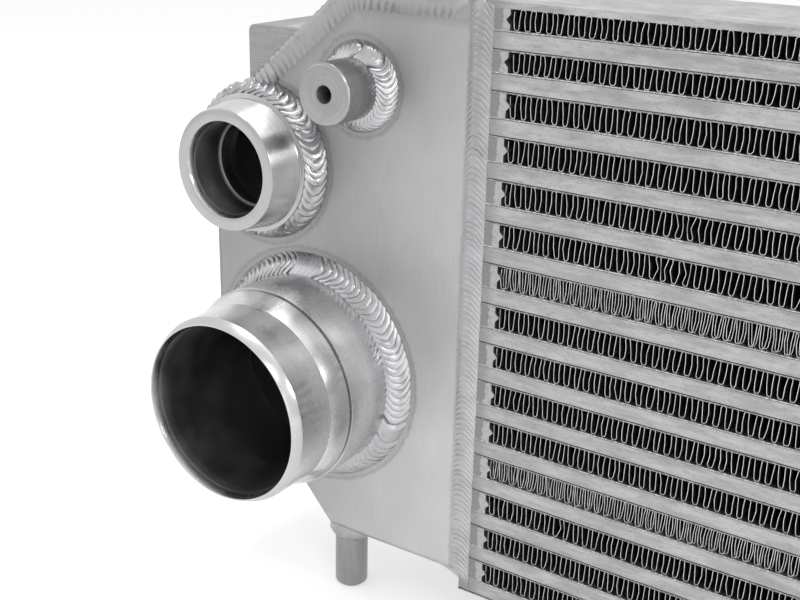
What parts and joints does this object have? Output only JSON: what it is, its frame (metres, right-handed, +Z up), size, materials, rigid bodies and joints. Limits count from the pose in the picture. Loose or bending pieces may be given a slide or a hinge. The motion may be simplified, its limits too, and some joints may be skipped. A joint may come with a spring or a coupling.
{
  "type": "charge air cooler",
  "caption": "Bar-and-plate intercooler: brazed finned core between two welded sheet tanks, with hose spigots, a ring port, a threaded boss and locating pegs.",
  "frame": {"origin": "on the axis of the left locating peg, where its bare wall starts just below its weld", "axes": "+X along the core from the left tank to the right one, +Y from the front face with the ports to the back, +Z up, against the pegs"},
  "size_m": [0.7912, 0.1296, 0.2754],
  "materials": {
    "brazed_core": "brazed, slightly stained",
    "fin_stock": "rolled strip",
    "tank_sheet": "brushed satin sheet",
    "turned_aluminium": "turned",
    "weld_metal": "TIG bead"
  },
  "bodies": {
    "root": {"parting_sheets": "brazed_core", "front_bars": "brazed_core", "rear_bars": "brazed_core", "top_plate": "brazed_core", "left_end_bars": "brazed_core", "right_end_bars": "brazed_core", "left_closing_bar": "brazed_core", "right_closing_bar": "brazed_core", "air_fins": "fin_stock", "charge_fins": "fin_stock", "left_tank_tray": "tank_sheet", "left_tank_roof": "tank_sheet", "left_tank_back": "tank_sheet", "right_tank_tray": "tank_sheet", "right_tank_roof": "tank_sheet", "right_tank_back": "tank_sheet", "mounting_block": "tank_sheet", "inlet_port": "turned_aluminium", "outlet_port": "turned_aluminium", "ring_port": "turned_aluminium", "threaded_boss": "turned_aluminium", "left_peg": "turned_aluminium", "right_peg": "turned_aluminium", "inlet_port_weld": "weld_metal", "outlet_port_weld": "weld_metal", "ring_port_weld": "weld_metal", "boss_weld": "weld_metal", "block_weld": "weld_metal", "left_front_seam_weld": "weld_metal", "right_front_seam_weld": "weld_metal", "left_rear_seam_weld": "weld_metal", "right_rear_seam_weld": "weld_metal", "left_core_weld": "weld_metal", "right_core_weld": "weld_metal", "left_peg_weld": "weld_metal", "right_peg_weld": "weld_metal"}
  },
  "joints": []
}
